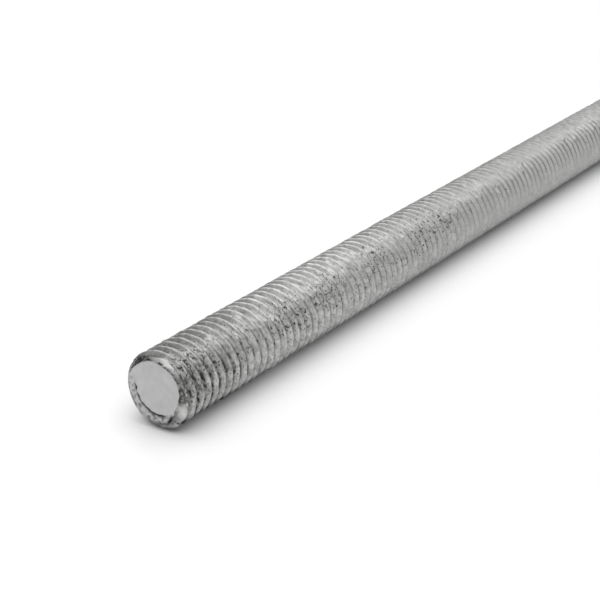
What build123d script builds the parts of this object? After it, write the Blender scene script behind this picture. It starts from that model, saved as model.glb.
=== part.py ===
from build123d import *
import os
from math import radians, tan

# Threaded rod, M12 x 1.75 right hand over its whole length, hot-dip galvanised, cut to a stock length.
# Lengths are in millimetres. The origin is the centre of one end face, and the rod runs along +X.

# Thread before coating: nominal diameter, pitch, and depth down to the minor diameter as a share of the pitch.
nominal_diameter = 12.0
thread_pitch = 1.75
thread_depth_ratio = 0.5413

# Zinc left on the thread crests after dipping, measured on the radius.
crest_zinc = 0.05

# Stock length from end face to end face.
rod_length = 200.0

# Both ends are chamfered down to the thread's minor diameter, at this angle to the rod's axis.
chamfer_angle = 45.0

crest_radius = nominal_diameter / 2 + crest_zinc
minor_radius = nominal_diameter / 2 - thread_depth_ratio * thread_pitch
chamfer_length = (crest_radius - minor_radius) / tan(radians(chamfer_angle))

# One turned solid: the envelope of the thread crests, which is what a sleeve or a clamp touches.
with BuildPart() as threaded_rod:
    with BuildSketch(Plane.XZ):
        with BuildLine():
            Polyline(
                (0, 0),
                (0, minor_radius),
                (chamfer_length, crest_radius),
                (rod_length - chamfer_length, crest_radius),
                (rod_length, minor_radius),
                (rod_length, 0),
                close=True,
            )
        make_face()
    revolve(axis=Axis.X)

threaded_rod.part.label = "threaded_rod"

os.makedirs("parts", exist_ok=True)
export_step(threaded_rod.part, "parts/threaded_rod.step")
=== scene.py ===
import math
from collections import namedtuple

import bpy
import numpy as np
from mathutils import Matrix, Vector


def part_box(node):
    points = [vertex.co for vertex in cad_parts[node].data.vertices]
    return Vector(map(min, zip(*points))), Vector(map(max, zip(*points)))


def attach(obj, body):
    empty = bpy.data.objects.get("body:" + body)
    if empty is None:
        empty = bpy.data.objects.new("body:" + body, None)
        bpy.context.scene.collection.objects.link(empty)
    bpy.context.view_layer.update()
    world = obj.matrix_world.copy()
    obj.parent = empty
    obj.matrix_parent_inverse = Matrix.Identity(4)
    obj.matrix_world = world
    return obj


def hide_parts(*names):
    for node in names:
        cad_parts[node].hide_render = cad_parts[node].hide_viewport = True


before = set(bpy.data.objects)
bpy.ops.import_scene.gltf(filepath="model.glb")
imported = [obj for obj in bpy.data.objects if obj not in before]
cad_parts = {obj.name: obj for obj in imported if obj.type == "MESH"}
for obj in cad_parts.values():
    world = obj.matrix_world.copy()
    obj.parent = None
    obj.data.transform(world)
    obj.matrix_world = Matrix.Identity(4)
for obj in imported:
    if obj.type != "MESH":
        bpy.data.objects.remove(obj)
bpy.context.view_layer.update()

# Sizes of the rod are in millimetres, as on a drawing, and meshes are scaled to metres when they are made.
# The rod runs along +X from its near end face. Angles round it are in degrees, start at +Y and turn towards
# +Z: 90 is the top, and the photograph shows the rod from 52 at its upper outline to 232 at its lower one.
MM = 0.001
rod_low, rod_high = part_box("threaded_rod")
ROD_LENGTH = (rod_high[0] - rod_low[0]) / MM
CREST_RADIUS = (rod_high[2] - rod_low[2]) / MM / 2

# Thread under its zinc: pitch, half the width of a crest, slope of a flank, the angle at which a crest
# starts on the near end face, radius at the bottom of the groove, and the bare thread's minor radius. Two
# flanks stand at 68 degrees to each other, not at the bare thread's 60, because zinc is thicker low in the
# groove.
PITCH = 1.75
CREST_HALF_WIDTH = PITCH / 16
FLANK_SLOPE = math.tan(math.radians(56))
START_ANGLE = 102
ROOT_RADIUS = 5.08
MINOR_RADIUS = 5.05

# Widths over which the zinc rounds the thread: at the bottom of the groove, the crest and the chamfer.
GROOVE_ROUNDING = 0.33
CREST_ROUNDING = 0.24
CHAMFER_ROUNDING = 0.10

# The zinc is uneven at three sizes, by these heights on each part of the thread. Crests lie a little
# below the full radius, so that most of that stays inside it.
DRIP_SIZE, BEAD_SIZE, GRAIN_SIZE = 1.7, 0.75, 0.33
CREST_DROP = 0.02
CREST_DRIPS, CREST_BEADS, CREST_GRAINS = 0.03, 0.0315, 0.018
FLANK_BEADS, FLANK_GRAINS = 0.045, 0.03
GROOVE_DRIPS, GROOVE_BEADS = 0.07, 0.06
CHAMFER_DRIPS, CHAMFER_BEADS = 0.10, 0.07

# Zinc that fills the groove: bridges from crest to crest, a band along the upper front where it ran
# together, and a little more towards the far end.
BRIDGE_SIZE, FINE_BRIDGE_SIZE, BRIDGE_FILL = 1.15, 0.6, 0.36
RUN_ANGLE, RUN_HALF_WIDTH, RUN_WANDER, RUN_FILL = 128, 42, 8, 0.32
FAR_FILL_ALONG, FAR_FILL = (65, 125), 0.18

# Low on the front, near the end, the zinc is lumpier: how much rougher it is, the size and height of its
# lumps, and how far they are lowered, as a share of that height, so that they stay inside the full radius.
MORE_ROUGHNESS = 0.9
LUMP_SIZE, LUMP_HEIGHT, LUMP_DROP = 2.3, 0.13, 0.6

# Marks on the skin. Each has its middle and half its width, in degrees round the rod and then in
# millimetres along it, and an amount: the depth of a pit, how dark dirt is, or how bright a painted
# highlight.
# The pit in the face has a radius in place of its x.
Spot = namedtuple("Spot", "angle half_angle x half_x amount", defaults=[1])
BRIGHT_LUMP = Spot(203, 21, 0.38, 0.62)
BRIGHT_BEAD = Spot(108, 28, 0.45, 0.5)
END_DRIP = Spot(226, 30, 1.3, 2.3)
TOP_PAINTED_HIGHLIGHT = Spot(85, 55, 40, 34, 0.22)
CRACK_PIT = Spot(226, 26, 0.16, 0.22, 0.45)
WEDGE_PIT = Spot(56, 24, 0.30, 0.28, 0.30)
SIDE_PIT = Spot(178, 34, 0.55, 0.45, 0.16)
CRACK_DIRT = Spot(232, 22, 0.10, 0.36, 1.8)
WEDGE_DIRT = Spot(48, 34, 0.5, 1.15, 1.9)
SIDE_DIRT = Spot(166, 46, 0.6, 1.5, 1.05)
FACE_PIT = Spot(288, 9, 3.55, 0.35, 0.9)

# How far the lump and the drip stand out on the chamfer, how far the bead and the drip fill the groove, how
# bright the lump and the bead are, the bead's being a painted highlight, and how much darker the top is in
# places, as painted shade.
LUMP_ON_CHAMFER, DRIP_ON_CHAMFER = 0.35, 0.3
BEAD_IN_GROOVE, DRIP_IN_GROOVE = 0.6, 0.5
LUMP_BRIGHTNESS, BEAD_PAINTED_HIGHLIGHT = 0.5, 0.75
TOP_SHADE = 0.17

# Stretches round the rod, in degrees: where each starts, is whole, begins to fade and ends.
LUMPY_AROUND = (165, 205, 300, 340)
RIM_DIRT_AROUND = (30, 60, 215, 250)
UNDERSIDE_AROUND = (210, 231, 290, 330)

# Stretches round it by their middle and half their width: the stained front, the top with its painted
# shade, the specked front.
STAIN_AROUND = (166, 50)
TOP_AROUND = (88, 72)
SPECKED_AROUND = (138, 62)

# Where along the rod, in millimetres, a look of the near end begins to fade, and where that ends.
LUMPS_FADE = (18, 45)
GROOVE_DIRT_AND_SHADE_FADES = (6, 28)
STAIN_FADES = (6, 20)
UNDERSIDE_FADES = (10, 26)
TOP_SHADE_FADES = (8, 24)
MORE_SPECKS_FADE = (4, 24)

# Where along it a look of the far half starts, and where it is complete: the top is shaded again, and there
# are fewer specks and less mottling.
TOP_SHADE_RETURNS = (85, 118)
SPECKS_THIN_OUT = (55, 110)
MOTTLE_FADES = (35, 105)

# Dirt and painted shade in the groove: the shares of the thread's depth at which it starts and is full, how
# much higher it reaches near the end and until where, and where it starts beyond the chamfer and on the
# front. Then where the painted shade on the underside starts, and the middle and half the width of the line
# along the rim.
DIRT_AND_SHADE_DEPTHS = (0.52, 0.86)
HIGHER_DIRT_AND_SHADE, HIGHER_DIRT_AND_SHADE_FADES = 0.16, (5, 12)
GROOVE_DIRT_AND_SHADE_STARTS, FRONT_DIRT_AND_SHADE_STARTS = (0.7, 1.6), (122, 158)
UNDERSIDE_STARTS = (0.2, 1.2)
RIM_DIRT_ALONG = (0.10, 0.27)

# Rim of the near end face as (angle, radius): hand-cut, then dipped, so it is far from round. The far rim
# lies this much below the crests. Each chamfer is even next to its rim, and uneven from this far on.
NEAR_RIM = [
    (25, 5.1), (45, 4.85), (62, 4.85), (87, 5.02), (112, 4.85), (135, 4.98), (159, 4.78), (182, 4.3),
    (209, 4.0), (226, 4.45), (245, 4.95), (270, 4.78), (300, 4.68), (335, 4.65), (360, 4.85),
]
FAR_RIM_DROP = 1.02
EVEN_CHAMFER = 0.3

# Open lap in the near face, where zinc folded over the edge: its middle line as (angle, radius), the angles
# at which it starts, is whole, begins to close and ends, half its width, and its depth.
NEAR_LAP = [
    (0, 3.6), (18, 3.7), (225, 3.9), (243, 3.78), (273, 3.47), (300, 3.38), (330, 3.43), (345, 3.46),
]
LAP_AROUND = (228, 258, 355, 385)
LAP_HALF_WIDTH, LAP_DEPTH = 0.26, 0.30

# Outside the lap the near face is rougher and a little lower: a crescent between two angles, with its depth
# and the width over which it starts. A crack crosses it: its middle and half its width round the face, how
# far from the rim it fades and ends, and its depth.
CRESCENT_FROM, CRESCENT_TO = 236, 20
CRESCENT_DEPTH, CRESCENT_EDGE = 0.05, 0.25
FACE_CRACK_AROUND, FACE_CRACK_INWARDS, FACE_CRACK_DEPTH = (235, 18), (0.15, 0.65), 0.25

# Rounded edge of both faces: its drop, its width at each end, and the width of the dirt on the near one.
FACE_EDGE_DROP = 0.05
NEAR_EDGE_WIDTH, FAR_EDGE_WIDTH = 0.16, 0.18
NEAR_EDGE_DIRT_WIDTH = 0.14

# Mesh of the skin: points round the rod and along one pitch, and lengths that the skin is laid in. An end
# face has rings that lie closer together near its rim.
AROUND = 140
ALONG_PITCH = 24
SKIN_LENGTHS = 4
FACE_RINGS = 60
RING_SPACING_POWER = 1.25
UV_MARGIN = 1.025


def smoothstep(low, high, value):
    """0 up to low, rising smoothly to 1 at high."""
    t = np.clip((value - low) / (high - low), 0, 1)
    return t * t * (3 - 2 * t)


def fade(start, end, value):
    """1 up to the start, falling smoothly to 0 at the end."""
    return 1 - smoothstep(start, end, value)


def span(start, whole, fading, end, value):
    """0 before the start and past the end, 1 from whole to fading, and smooth between."""
    return smoothstep(start, whole, value) * fade(fading, end, value)


def bump(value, centre, half_width):
    """1 at the centre, falling smoothly to 0 at half_width to either side."""
    return fade(0, half_width, np.abs(value - centre))


def strength(spot, x, angle):
    """A spot's amount in its middle, falling smoothly to 0 at its edge."""
    return bump(angle, spot.angle, spot.half_angle) * bump(x, spot.x, spot.half_x) * spot.amount


def smooth_min(a, b, width):
    """The smaller of a and b, rounded over the given width where they cross."""
    h = np.clip(0.5 + 0.5 * (b - a) / width, 0, 1)
    return b * (1 - h) + a * h - width * h * (1 - h)


def smooth_max(a, b, width):
    """The larger of a and b, rounded in the same way."""
    return -smooth_min(-a, -b, width)


def round_the_rod(points, angle):
    """Radius at an angle, from a short list of (angle, radius) points that closes on itself."""
    ordered = sorted((a % 360, r) for a, r in points)
    return np.interp(angle, [a for a, _ in ordered], [r for _, r in ordered], period=360)


def lattice_value(cell, seed):
    """A repeatable value from -1 to 1 for each whole-number cell, from the mixed bits of its numbers."""
    x, y, z = (cell[..., i].astype(np.uint64) for i in range(3))
    h = x * np.uint64(0x9E3779B97F4A7C15)
    h ^= y * np.uint64(0xC2B2AE3D27D4EB4F)
    h ^= z * np.uint64(0x165667B19E3779F9)
    h ^= np.uint64(seed * 7919 + 13)
    h ^= h >> np.uint64(29)
    h *= np.uint64(0xBF58476D1CE4E5B9)
    h ^= h >> np.uint64(32)
    return (h & np.uint64(0xFFFFFF)).astype(float) / float(0xFFFFFF) * 2 - 1


def noise(points, size, seed):
    """Smooth noise from -1 to 1 at points, with lumps of the given size. Each pattern has its own seed."""
    scaled = points / size
    base = np.floor(scaled)
    part = scaled - base
    part = part * part * (3 - 2 * part)
    base = base.astype(np.int64)
    total = 0
    for corner in np.ndindex(2, 2, 2):
        weight = np.prod(np.where(corner, part, 1 - part), axis=-1)
        total = total + weight * lattice_value(base + np.array(corner), seed)
    return total


def on_rod(x, angle, radius):
    """Points at x along the rod, at an angle round it and at a radius."""
    turned = np.radians(angle)
    return np.stack([x, radius * np.cos(turned), radius * np.sin(turned)], axis=-1)


def groove_depth(radius):
    """Depth in the thread as a share: 0 at a crest and 1 at the bottom of the groove."""
    return (CREST_RADIUS - radius) / (CREST_RADIUS - ROOT_RADIUS)


def below_crest(x, angle):
    """How far the sharp thread form lies below its crest."""
    turns = x / PITCH - (angle - START_ANGLE) / 360
    from_crest = np.abs(turns - np.round(turns)) * PITCH
    return np.maximum(from_crest - CREST_HALF_WIDTH, 0) * FLANK_SLOPE


def lumpy_share(x, angle):
    """Where the zinc is lumpier: low on the front, near the end."""
    return span(*LUMPY_AROUND, angle) * fade(*LUMPS_FADE, x)


def groove_radius(x, angle, drips, beads):
    """Radius of the bottom of the groove, with the zinc that fills it."""
    place = on_rod(x, angle, CREST_RADIUS)
    patches = noise(place, 5.5, 6)
    bridges = noise(place * (1, 0.8, 0.8), BRIDGE_SIZE, 4) * 0.65 + noise(place, FINE_BRIDGE_SIZE, 5) * 0.45
    bridges = smoothstep(0.30, 0.72, bridges + patches * 0.15)
    run = bump(angle, RUN_ANGLE + RUN_WANDER * patches, RUN_HALF_WIDTH)
    root = ROOT_RADIUS + GROOVE_DRIPS * drips + GROOVE_BEADS * beads
    root = root + BRIDGE_FILL * bridges + RUN_FILL * run
    root = root + FAR_FILL * smoothstep(*FAR_FILL_ALONG, x)
    root = root + BEAD_IN_GROOVE * strength(BRIGHT_BEAD, x, angle)
    return root + DRIP_IN_GROOVE * strength(END_DRIP, x, angle)


def rim_radius(x, angle):
    """Radius of the end face that x is nearer to. The far one is nearly round."""
    place = on_rod(x * 0, angle, CREST_RADIUS)
    far = CREST_RADIUS - FAR_RIM_DROP + 0.06 * noise(place, 1.9, 21)
    near = round_the_rod(NEAR_RIM, angle) + 0.06 * noise(place, 0.8, 22) + 0.045 * noise(place, 0.42, 23)
    return np.where(x < ROD_LENGTH / 2, near, far)


def chamfer_radius(x, angle, drips, beads):
    """Radius of the chamfer of the nearer end, which meets the crests at the same x all round."""
    to_end = np.minimum(x, ROD_LENGTH - x)
    rim = rim_radius(x, angle)
    rise = (CREST_RADIUS - rim) / (CREST_RADIUS - MINOR_RADIUS)
    uneven = CHAMFER_DRIPS * drips + CHAMFER_BEADS * beads
    chamfer = rim + to_end * rise + smoothstep(0, EVEN_CHAMFER, to_end) * uneven
    chamfer = chamfer + LUMP_ON_CHAMFER * strength(BRIGHT_LUMP, x, angle)
    return chamfer + DRIP_ON_CHAMFER * strength(END_DRIP, x, angle)


def near_end_pits(x, angle):
    """Depth of the cracks and pits on the near chamfer, where the zinc didn't close."""
    return sum(strength(pit, x, angle) for pit in (CRACK_PIT, WEDGE_PIT, SIDE_PIT))


def skin_radius(x, angle):
    """Radius of the galvanised surface at x along the rod and at an angle round it."""
    place = on_rod(x, angle, CREST_RADIUS)
    lumpy = lumpy_share(x, angle)
    rougher = 1 + MORE_ROUGHNESS * lumpy
    drips = noise(place, DRIP_SIZE, 1)
    beads = noise(place, BEAD_SIZE, 2) * rougher
    grains = noise(place, GRAIN_SIZE, 3) * rougher
    lumps = noise(place * (1, 0.7, 0.7), LUMP_SIZE, 7) - LUMP_DROP
    crest = CREST_RADIUS - CREST_DROP + CREST_DRIPS * drips + CREST_BEADS * beads
    crest = crest + LUMP_HEIGHT * lumpy * lumps
    flank = crest - below_crest(x, angle) + FLANK_BEADS * beads + FLANK_GRAINS * grains
    radius = smooth_max(flank, groove_radius(x, angle, drips, beads), GROOVE_ROUNDING)
    radius = smooth_min(radius, crest + CREST_GRAINS * grains, CREST_ROUNDING)
    radius = smooth_min(radius, chamfer_radius(x, angle, drips, beads), CHAMFER_ROUNDING)
    return np.minimum(radius - near_end_pits(x, angle), CREST_RADIUS)


def groove_dirt_and_shade(x, angle, radius):
    """Dirt and painted shade low in the groove, most on the front and near the end, where it reaches
    higher.
    """
    depth = groove_depth(radius) + HIGHER_DIRT_AND_SHADE * fade(*HIGHER_DIRT_AND_SHADE_FADES, x)
    on_front = 0.25 + 0.75 * smoothstep(*FRONT_DIRT_AND_SHADE_STARTS, angle)
    towards_end = 0.5 + 0.5 * fade(*GROOVE_DIRT_AND_SHADE_FADES, x)
    return smoothstep(*DIRT_AND_SHADE_DEPTHS, depth) * smoothstep(*GROOVE_DIRT_AND_SHADE_STARTS, x) * on_front * towards_end


def rim_dirt(x, angle, place):
    """A broken dark line along the edge of the near face, strongest over the front."""
    strongest = 0.4 + 0.8 * span(*RIM_DIRT_AROUND, angle)
    return bump(x, *RIM_DIRT_ALONG) * strongest * smoothstep(-0.35, 0.35, noise(place, 0.5, 37))


def side_stain(x, angle, place):
    """A stain in patches along the first stretch of the front."""
    patches = smoothstep(-0.2, 0.5, noise(place, 1.3, 36))
    return 0.7 * bump(angle, *STAIN_AROUND) * fade(*STAIN_FADES, x) * patches


def underside_painted_shade(x, angle):
    """Painted shade on the underside, a little less of it beyond the near end."""
    under = span(*UNDERSIDE_AROUND, angle) * smoothstep(*UNDERSIDE_STARTS, x)
    return under * (1 - 0.4 * smoothstep(*UNDERSIDE_FADES, x))


def top_shade(x, angle):
    """Painted shade: the top is darker at the near end, and again far along the rod."""
    along = fade(*TOP_SHADE_FADES, x) + 0.6 * smoothstep(*TOP_SHADE_RETURNS, x)
    return TOP_SHADE * bump(angle, *TOP_AROUND) * along


def skin_dirt_and_shade(x, angle, radius):
    """How dark the skin is with dirt, pitting and painted shade, from 0 to 1, before the material's own
    specks.
    """
    place = on_rod(x, angle, radius)
    broken = smoothstep(-0.45, 0.35, noise(place, 0.55, 31) + 0.5 * noise(place, 0.3, 32))
    crumbs = smoothstep(-0.5, 0.4, noise(place, 0.42, 34) + 0.6 * noise(place, 0.24, 35))
    groove = groove_dirt_and_shade(x, angle, radius)
    crack = strength(CRACK_DIRT, x, angle)
    wedge = strength(WEDGE_DIRT, x, angle)
    side = strength(SIDE_DIRT, x, angle)
    stain = side_stain(x, angle, place)
    under = underside_painted_shade(x, angle)
    patchy = np.maximum.reduce([groove, crack, under, wedge * 0.5, stain * 0.5]) * np.maximum(broken, 0.4)
    crumbly = np.maximum.reduce([rim_dirt(x, angle, place), wedge, side, stain]) * crumbs
    # Painted shade on the underside and along the top.
    even = np.maximum(under * 0.8, top_shade(x, angle))
    dirt_and_shade = np.maximum.reduce([patchy, crumbly, even])
    return np.clip(dirt_and_shade * (1 - strength(BRIGHT_LUMP, x, angle)), 0, 1)


def speck_density(x, angle, radius):
    """How many dark specks the zinc has, from 0 to 1: most where it ran together and near the end."""
    patches = noise(on_rod(x, angle, CREST_RADIUS), 4.2, 33)
    front = bump(angle, *SPECKED_AROUND)
    density = 0.25 + 0.5 * front + 0.3 * groove_depth(radius) + 0.45 * patches * (0.4 + front)
    density = np.clip(density + 0.2 * fade(*MORE_SPECKS_FADE, x), 0, 1)
    density = density * (1 - 0.55 * smoothstep(*SPECKS_THIN_OUT, x))
    return density * (1 - strength(BRIGHT_LUMP, x, angle)) * (1 - strength(BRIGHT_BEAD, x, angle))


def pale_zinc_and_highlight(x, angle):
    """Paler zinc on the lump near the end, and a painted highlight on the bead and along a stretch of the
    top.
    """
    lump = LUMP_BRIGHTNESS * strength(BRIGHT_LUMP, x, angle)
    bead = BEAD_PAINTED_HIGHLIGHT * strength(BRIGHT_BEAD, x, angle)
    return np.maximum.reduce([lump, bead, strength(TOP_PAINTED_HIGHLIGHT, x, angle)])


def skin_attributes(x, angle, radius):
    """What the thread's material needs to know at each point of the skin."""
    return {
        "groove": groove_depth(radius),
        "dirt_and_shade": skin_dirt_and_shade(x, angle, radius),
        "specks": speck_density(x, angle, radius),
        "mottle": 1 - 0.7 * smoothstep(*MOTTLE_FADES, x),
        "bright": pale_zinc_and_highlight(x, angle),
    }


def make_piece(name, points, faces, attributes, uv):
    """A smooth-shaded mesh object from points in millimetres, with a float for each point and a UV map."""
    mesh = bpy.data.meshes.new(name)
    mesh.from_pydata((points * MM).tolist(), [], faces)
    mesh.polygons.foreach_set("use_smooth", np.ones(len(mesh.polygons), bool))
    for key, values in attributes.items():
        mesh.attributes.new(key, "FLOAT", "POINT").data.foreach_set("value", values.astype(np.float32))
    corners = np.empty(len(mesh.loops), np.int32)
    mesh.loops.foreach_get("vertex_index", corners)
    mesh.uv_layers.new(name="OFBake").data.foreach_set("uv", uv[corners].astype(np.float32).ravel())
    mesh.update()
    piece = bpy.data.objects.new(name, mesh)
    bpy.context.collection.objects.link(piece)
    return piece


def grid_quads(index):
    """Quads between the neighbours of a grid of point numbers."""
    corners = [index[:-1, :-1], index[1:, :-1], index[1:, 1:], index[:-1, 1:]]
    return np.stack(corners, axis=-1).reshape(-1, 4)


def thread_piece(name, first_row, last_row):
    """One length of the threaded skin. Its rows follow the helix, so crests and grooves are clean lines."""
    rows = np.arange(first_row, last_row + 1)
    turn_share = np.arange(AROUND + 1) / AROUND
    x = np.clip(PITCH * (rows[:, None] / ALONG_PITCH + turn_share), 0, ROD_LENGTH)
    turn_share = np.broadcast_to(turn_share, x.shape)
    angle = 360 * turn_share % 360
    radius = skin_radius(x, angle)
    quads = grid_quads(np.arange(x.size).reshape(x.shape))
    corner_x = x.ravel()[quads]
    past_an_end = (corner_x <= 0).all(axis=1) | (corner_x >= ROD_LENGTH).all(axis=1)
    used, quads = np.unique(quads[~past_an_end], return_inverse=True)
    points = on_rod(x, angle, radius).reshape(-1, 3)[used]
    along = (points[:, 0] - points[:, 0].min()) / np.ptp(points[:, 0])
    uv = np.stack([along, turn_share.ravel()[used]], axis=-1)
    attributes = {key: values.ravel()[used] for key, values in skin_attributes(x, angle, radius).items()}
    return make_piece(name, points, quads.reshape(-1, 4).tolist(), attributes, uv)


def lap_in_face(angle, radius, place):
    """Strength of the open lap at a place on the near face: 1 along its middle line, 0 away from it."""
    onwards = np.where(angle < LAP_AROUND[0], angle + 360, angle)
    middle = round_the_rod(NEAR_LAP, angle) + 0.07 * noise(place, 0.9, 41)
    width = LAP_HALF_WIDTH * (1 + 0.8 * noise(place, 0.6, 42))
    return bump(radius, middle, width) * span(*LAP_AROUND, onwards)


def near_face_shape(angle, radius, rim):
    """How far the near face lies in from its plane, and how dark it is there."""
    place = on_rod(radius * 0, angle, radius)
    from_rim = rim - radius
    lap = lap_in_face(angle, radius, place)
    outside_lap = smoothstep(0, CRESCENT_EDGE, radius - round_the_rod(NEAR_LAP, angle))
    crescent = outside_lap * ((angle > CRESCENT_FROM) | (angle < CRESCENT_TO))
    crack = bump(angle, *FACE_CRACK_AROUND) * fade(*FACE_CRACK_INWARDS, from_rim)
    rough = CRESCENT_DEPTH + 0.06 * noise(place, 0.8, 43) + 0.05 * noise(place, 0.35, 44)
    sunk = lap * LAP_DEPTH + crescent * rough + 0.01 * (1 + noise(place, 2.2, 45))
    sunk = sunk + FACE_EDGE_DROP * fade(0, NEAR_EDGE_WIDTH, from_rim) ** 2 + FACE_CRACK_DEPTH * crack
    crescent_dirt = crescent * smoothstep(0.1, 0.7, noise(place, 0.38, 46)) * 0.65
    edge = fade(0, NEAR_EDGE_DIRT_WIDTH, from_rim)
    edge_dirt = edge * smoothstep(-0.3, 0.5, noise(place, 0.45, 47)) * 0.8
    pit = strength(FACE_PIT, radius, angle)
    dark = np.maximum.reduce([lap * 1.15, crescent_dirt, edge_dirt, pit, crack * 1.5])
    return sunk, np.clip(dark, 0, 1)


def far_face_shape(angle, radius, rim):
    """The far face is cut and dipped like the near one, without its lap and crack."""
    place = on_rod(radius * 0, angle, radius)
    edge = fade(0, FAR_EDGE_WIDTH, rim - radius)
    sunk = 0.012 * (1 + noise(place, 2.0, 51)) + FACE_EDGE_DROP * edge ** 2
    dark = edge * smoothstep(-0.1, 0.6, noise(place, 0.7, 52)) * 0.8
    return sunk, dark


def face_piece(name, at_x, inward, shape):
    """An end face: rings of quads from the rim inwards, and a fan of triangles at the centre."""
    around = 360 * np.arange(AROUND) / AROUND
    rim = skin_radius(np.full(AROUND, float(at_x)), around)
    share = 1 - (np.arange(FACE_RINGS) / FACE_RINGS) ** RING_SPACING_POWER
    radius = share[:, None] * rim
    angle = np.broadcast_to(around, radius.shape)
    sunk, dark = shape(angle, radius, rim)
    sunk = np.maximum(sunk, 0)
    sunk[0] = 0
    centre = [at_x + inward * sunk[-1].mean(), 0, 0]
    points = np.vstack([on_rod(at_x + inward * sunk, angle, radius).reshape(-1, 3), centre])
    dark = np.append(dark.ravel(), dark[-1].mean())
    index = np.arange(FACE_RINGS * AROUND).reshape(FACE_RINGS, AROUND)
    after = np.roll(index, -1, axis=1)
    faces = np.stack([index[:-1], after[:-1], after[1:], index[1:]], axis=-1).reshape(-1, 4).tolist()
    faces += [(int(a), int(b), FACE_RINGS * AROUND) for a, b in zip(index[-1], after[-1])]
    if inward > 0:
        faces = [face[::-1] for face in faces]
    uv = 0.5 + points[:, 1:] / (2 * UV_MARGIN * CREST_RADIUS)
    return make_piece(name, points, faces, {"groove": dark * 0, "dirt_and_shade": dark}, uv)


class Nodes:
    """Short hand for building a material's node tree. Sizes are in millimetres."""

    def __init__(self, name):
        self.material = bpy.data.materials.new(name)
        self.material.use_nodes = True
        self.tree = self.material.node_tree
        self.shader = self.tree.nodes["Principled BSDF"]

    def add(self, kind, **settings):
        """A new node of a kind, with its settings."""
        node = self.tree.nodes.new(kind)
        for key, value in settings.items():
            setattr(node, key, value)
        return node

    def link(self, source, target):
        """Join an output to an input."""
        self.tree.links.new(source, target)

    def attribute(self, name):
        """A value that the mesh carries at each of its points."""
        return self.add("ShaderNodeAttribute", attribute_name=name).outputs["Fac"]

    def place(self, stretch=(1, 1, 1)):
        """Position on the object in millimetres, stretched by a factor along each axis."""
        mapping = self.add("ShaderNodeMapping")
        mapping.inputs["Scale"].default_value = [s / MM for s in stretch]
        self.link(self.add("ShaderNodeTexCoord").outputs["Object"], mapping.inputs["Vector"])
        return mapping.outputs["Vector"]

    def noise(self, size, detail=2.0, roughness=0.5, stretch=(1, 1, 1)):
        """Noise from 0 to 1 with lumps of a size."""
        node = self.add("ShaderNodeTexNoise")
        node.inputs["Scale"].default_value = 1 / size
        node.inputs["Detail"].default_value = detail
        node.inputs["Roughness"].default_value = roughness
        self.link(self.place(stretch), node.inputs["Vector"])
        return node.outputs["Fac"]

    def math(self, operation, a, b=0.0):
        """One operation on two numbers, each a value or a socket."""
        node = self.add("ShaderNodeMath", operation=operation)
        for socket, value in zip(node.inputs, (a, b)):
            if isinstance(value, (int, float)):
                socket.default_value = value
            else:
                self.link(value, socket)
        return node.outputs["Value"]

    def between(self, value, low, high, start=0.0, end=1.0):
        """Value mapped from low..high to start..end, smoothly and without going past."""
        node = self.add("ShaderNodeMapRange", interpolation_type="SMOOTHSTEP")
        self.link(value, node.inputs["Value"])
        for name, number in (("From Min", low), ("From Max", high), ("To Min", start), ("To Max", end)):
            node.inputs[name].default_value = number
        return node.outputs["Result"]

    def mix(self, factor, a, b):
        """Colour from a to b, each three numbers or a socket, by a factor."""
        node = self.add("ShaderNodeMix", data_type="RGBA")
        self.link(factor, node.inputs["Factor"])
        for socket, value in zip((node.inputs[6], node.inputs[7]), (a, b)):
            if isinstance(value, tuple):
                socket.default_value = (*value, 1)
            else:
                self.link(value, socket)
        return node.outputs[2]

    def relief(self, height, depth, share):
        """Fine relief in the shading: a height from 0 to 1, its depth, and how much of it shows."""
        node = self.add("ShaderNodeBump")
        node.inputs["Distance"].default_value = depth * MM
        node.inputs["Strength"].default_value = share
        self.link(height, node.inputs["Height"])
        self.link(node.outputs["Normal"], self.shader.inputs["Normal"])


# Zinc: how metallic it is, how rough the thread and the face are at least and at most, and its colours.
# The dull grey also stands for painted shade low in the groove, the bright one for a painted highlight
# on the bead and the top, and the darkest for painted shade as well as pits and dirt.
ZINC_METALLIC = 0.85
THREAD_ROUGHNESS = (0.38, 0.58)
FACE_ROUGHNESS = (0.48, 0.6)
PALE_ZINC = (0.585, 0.585, 0.58)
GREY_ZINC = (0.42, 0.42, 0.415)
DULL_ZINC_AND_SHADE = (0.235, 0.235, 0.23)
BRIGHT_ZINC_AND_HIGHLIGHT = (0.86, 0.86, 0.855)
FACE_GREY = (0.52, 0.52, 0.52)
FACE_PALE = (0.56, 0.56, 0.56)
BROWN_DIRT = (0.10, 0.085, 0.07)
DARK_PIT_AND_SHADE = (0.035, 0.034, 0.033)


def zinc_mottle(n):
    """Zinc in two greys, with finer dull patches that fade along the rod, and painted shade low in the
    groove.
    """
    mottle = n.attribute("mottle")
    pale = n.math("MULTIPLY", n.between(n.noise(1.3, detail=4, roughness=0.6), 0.36, 0.62), mottle)
    mottled = n.mix(pale, GREY_ZINC, PALE_ZINC)
    patches = n.noise(0.42, detail=4, roughness=0.65, stretch=(1.1, 0.75, 0.75))
    dull = n.between(patches, 0.48, 0.68, 0, 0.7)
    dulled = n.mix(n.math("MULTIPLY", dull, mottle), mottled, DULL_ZINC_AND_SHADE)
    # Painted shade: darker the deeper in the groove.
    return n.mix(n.between(n.attribute("groove"), 0.45, 1.0, 0, 0.55), dulled, DULL_ZINC_AND_SHADE)


def specks_of_size(n, size, stretch, limits, softness):
    """Specks where noise passes a limit, which goes from the first to the second as they get denser."""
    limit = n.between(n.attribute("specks"), 0.0, 1.0, *limits)
    past_limit = n.math("SUBTRACT", n.noise(size, roughness=0.6, stretch=stretch), limit)
    return n.between(past_limit, 0.0, softness)


def dark_specks(n):
    """Fine and coarse specks together, from 0 to 1."""
    fine = specks_of_size(n, 0.28, (1.1, 0.6, 0.6), (0.75, 0.585), 0.03)
    coarse = specks_of_size(n, 0.62, (1.3, 0.6, 0.6), (0.80, 0.63), 0.02)
    return n.math("MAXIMUM", fine, coarse)


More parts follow.
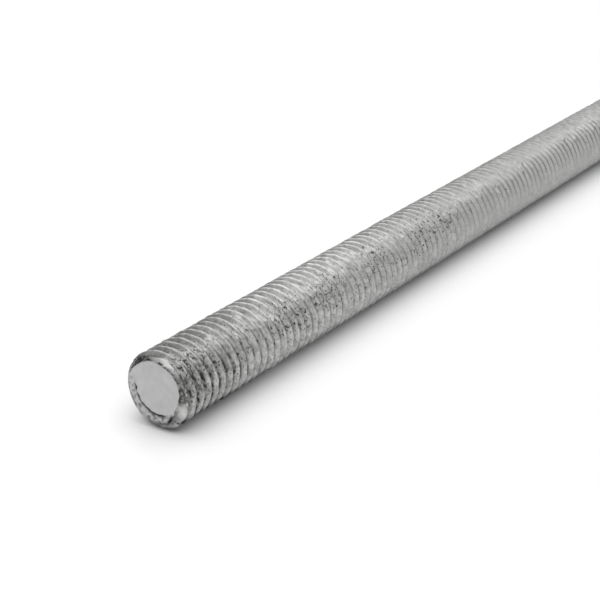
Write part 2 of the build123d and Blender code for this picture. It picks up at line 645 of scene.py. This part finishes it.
def thread_zinc():
    """Hot-dip zinc on the thread: mottled, pitted, dark where dirt sits, with painted shade and highlights.
    """
    n = Nodes("thread_zinc")
    n.shader.inputs["Metallic"].default_value = ZINC_METALLIC
    dirt = n.mix(n.between(n.noise(2.4), 0.5, 0.62), DARK_PIT_AND_SHADE, BROWN_DIRT)
    specked = n.mix(n.math("MULTIPLY", dark_specks(n), 0.9), zinc_mottle(n), dirt)
    # Paler zinc on the lump, and a painted highlight on the bead and along the top.
    brightened = n.mix(n.attribute("bright"), specked, BRIGHT_ZINC_AND_HIGHLIGHT)
    # Darker with dirt and pits, and with painted shade.
    finished = n.mix(n.attribute("dirt_and_shade"), brightened, DARK_PIT_AND_SHADE)
    n.link(finished, n.shader.inputs["Base Color"])
    n.link(n.between(n.noise(0.9, detail=3), 0.3, 0.7, *THREAD_ROUGHNESS), n.shader.inputs["Roughness"])
    n.relief(n.noise(0.22, detail=3, roughness=0.6), depth=0.06, share=0.8)
    return n.material


def face_zinc():
    """The cut face under its zinc: nearly even and smooth."""
    n = Nodes("face_zinc")
    n.shader.inputs["Metallic"].default_value = ZINC_METALLIC
    even = n.mix(n.between(n.noise(1.6, detail=3), 0.35, 0.65), FACE_GREY, FACE_PALE)
    finished = n.mix(n.attribute("dirt_and_shade"), even, DARK_PIT_AND_SHADE)
    n.link(finished, n.shader.inputs["Base Color"])
    n.link(n.between(n.noise(1.1, detail=3), 0.3, 0.7, *FACE_ROUGHNESS), n.shader.inputs["Roughness"])
    n.relief(n.noise(0.3, detail=3), depth=0.02, share=0.5)
    return n.material


def finish_piece(piece, material):
    """Give a piece of the rod its material, and say which part of the frame it dresses."""
    piece.data.materials.append(material)
    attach(piece, "root")
    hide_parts("threaded_rod")


def make_rod():
    """The threaded skin in a few lengths, and the two end faces. Rows climb by a pitch round the rod, so
    the first length starts one pitch before the near end."""
    thread, face = thread_zinc(), face_zinc()
    last_row = math.ceil(ROD_LENGTH / PITCH * ALONG_PITCH)
    breaks = [round(last_row * i / SKIN_LENGTHS) for i in range(SKIN_LENGTHS + 1)]
    breaks[0] = -ALONG_PITCH
    for i in range(SKIN_LENGTHS):
        finish_piece(thread_piece(f"thread_{i + 1}", breaks[i], breaks[i + 1]), thread)
    finish_piece(face_piece("near_end_face", 0, 1, near_face_shape), face)
    finish_piece(face_piece("far_end_face", ROD_LENGTH, -1, far_face_shape), face)


# Studio, in metres: a pale floor, a large soft light overhead, a weak one from the front, a small one low
# behind the rod that draws bright lines along its crests, and a dim room.
FLOOR_HALF = 3.0
FLOOR_COLOUR = (0.93, 0.93, 0.93)
FLOOR_ROUGHNESS = 0.95
ROOM_LEVEL = 0.19
LIGHT_TARGET = Vector((0.06, 0, 0))
Light = namedtuple("Light", "direction distance size power")
LIGHTS = {
    "key": Light(Vector((-0.04, -0.06, 1.0)), 0.8, 1.4, 10.8),
    "fill": Light(Vector((-0.55, -0.80, 0.30)), 0.9, 0.50, 1.1),
    "rim": Light(Vector((0.68, 0.62, 0.36)), 0.9, 0.50, 2.0),
}

# White of its own that the floor has, by distance from the rod's axis: none under the rod, where its shadow
# lies, then a share of it, and all of it far away, so that no horizon shows.
WHITE_SHARE = 0.65
SHARE_STARTS, SHARE_REACHED = 0.005, 0.024
ALL_STARTS, ALL_REACHED = 0.05, 0.5


def distance_from_rod(n):
    """Distance on the floor from the line under the rod, sideways or past an end, whichever is more."""
    half = ROD_LENGTH * MM / 2
    place = n.add("ShaderNodeSeparateXYZ")
    n.link(n.add("ShaderNodeTexCoord").outputs["Object"], place.inputs["Vector"])
    beside = n.math("ABSOLUTE", place.outputs["Y"])
    from_middle = n.math("ABSOLUTE", n.math("SUBTRACT", place.outputs["X"], half))
    return n.math("MAXIMUM", beside, n.math("SUBTRACT", from_middle, half))


def floor_material():
    """Pale floor, partly white to the camera and in reflections, except in the shadow near the rod."""
    n = Nodes("floor")
    n.shader.inputs["Base Color"].default_value = (*FLOOR_COLOUR, 1)
    n.shader.inputs["Roughness"].default_value = FLOOR_ROUGHNESS
    path = n.add("ShaderNodeLightPath")
    seen = n.math("MAXIMUM", path.outputs["Is Camera Ray"], path.outputs["Is Glossy Ray"])
    seen = n.math("MAXIMUM", seen, path.outputs["Is Transmission Ray"])
    from_rod = distance_from_rod(n)
    near_share = n.between(from_rod, SHARE_STARTS, SHARE_REACHED, 0.0, WHITE_SHARE)
    far_share = n.between(from_rod, ALL_STARTS, ALL_REACHED, 0.0, 1 - WHITE_SHARE)
    share = n.math("ADD", near_share, far_share)
    white = n.add("ShaderNodeEmission")
    blend = n.add("ShaderNodeMixShader")
    n.link(n.math("MULTIPLY", seen, share), blend.inputs["Fac"])
    n.link(n.shader.outputs["BSDF"], blend.inputs[1])
    n.link(white.outputs["Emission"], blend.inputs[2])
    n.link(blend.outputs["Shader"], n.tree.nodes["Material Output"].inputs["Surface"])
    return n.material


def make_floor():
    """A square floor that the rod lies on."""
    mesh = bpy.data.meshes.new("floor")
    corners = [(-1, -1), (1, -1), (1, 1), (-1, 1)]
    mesh.from_pydata([(x * FLOOR_HALF, y * FLOOR_HALF, 0) for x, y in corners], [], [(0, 1, 2, 3)])
    mesh.materials.append(floor_material())
    floor = bpy.data.objects.new("floor", mesh)
    floor.location.z = rod_low[2]
    bpy.context.collection.objects.link(floor)


def make_room():
    """A dim, even room all round."""
    world = bpy.data.worlds.new("studio")
    world.use_nodes = True
    background = world.node_tree.nodes["Background"]
    background.inputs["Color"].default_value = (1, 1, 1, 1)
    background.inputs["Strength"].default_value = ROOM_LEVEL
    bpy.context.scene.world = world


def make_light(name, light):
    """A square area light, aimed at the part of the rod that the photograph shows."""
    data = bpy.data.lights.new(name, "AREA")
    data.shape = "SQUARE"
    data.size = light.size
    data.energy = light.power
    lamp = bpy.data.objects.new(name, data)
    lamp.location = LIGHT_TARGET + light.direction.normalized() * light.distance
    lamp.rotation_euler = (-light.direction).to_track_quat("-Z", "Y").to_euler()
    bpy.context.collection.objects.link(lamp)


# Camera: worked out from the rod's outlines, its end face and the spacing of its thread, as a place in rod
# diameters from the near end, a heading from +X towards +Y and a tilt from level, both in degrees, and a
# lens and sensor in millimetres.
CAMERA_PLACE = Vector((-12.234, -10.375, 8.09))
CAMERA_HEADING = 34.11
CAMERA_TILT = -23.35
CAMERA_LENS = 90.0
CAMERA_SENSOR = 36.0
CLIP_FROM, CLIP_TO = 0.005, 20


def make_camera():
    """The photograph's camera, with no depth of field and no shift."""
    data = bpy.data.cameras.new("camera")
    data.sensor_width = CAMERA_SENSOR
    data.lens = CAMERA_LENS
    data.clip_start = CLIP_FROM
    data.clip_end = CLIP_TO
    camera = bpy.data.objects.new("camera", data)
    camera.location = CAMERA_PLACE * (2 * CREST_RADIUS * MM)
    heading, tilt = math.radians(CAMERA_HEADING), math.radians(CAMERA_TILT)
    ahead = Vector((math.cos(tilt) * math.cos(heading), math.cos(tilt) * math.sin(heading), math.sin(tilt)))
    camera.rotation_euler = ahead.to_track_quat("-Z", "Y").to_euler()
    bpy.context.collection.objects.link(camera)
    bpy.context.scene.camera = camera


make_rod()
make_floor()
make_room()
for light_name, light in LIGHTS.items():
    make_light(light_name, light)
make_camera()
bpy.context.scene.view_settings.view_transform = "Standard"
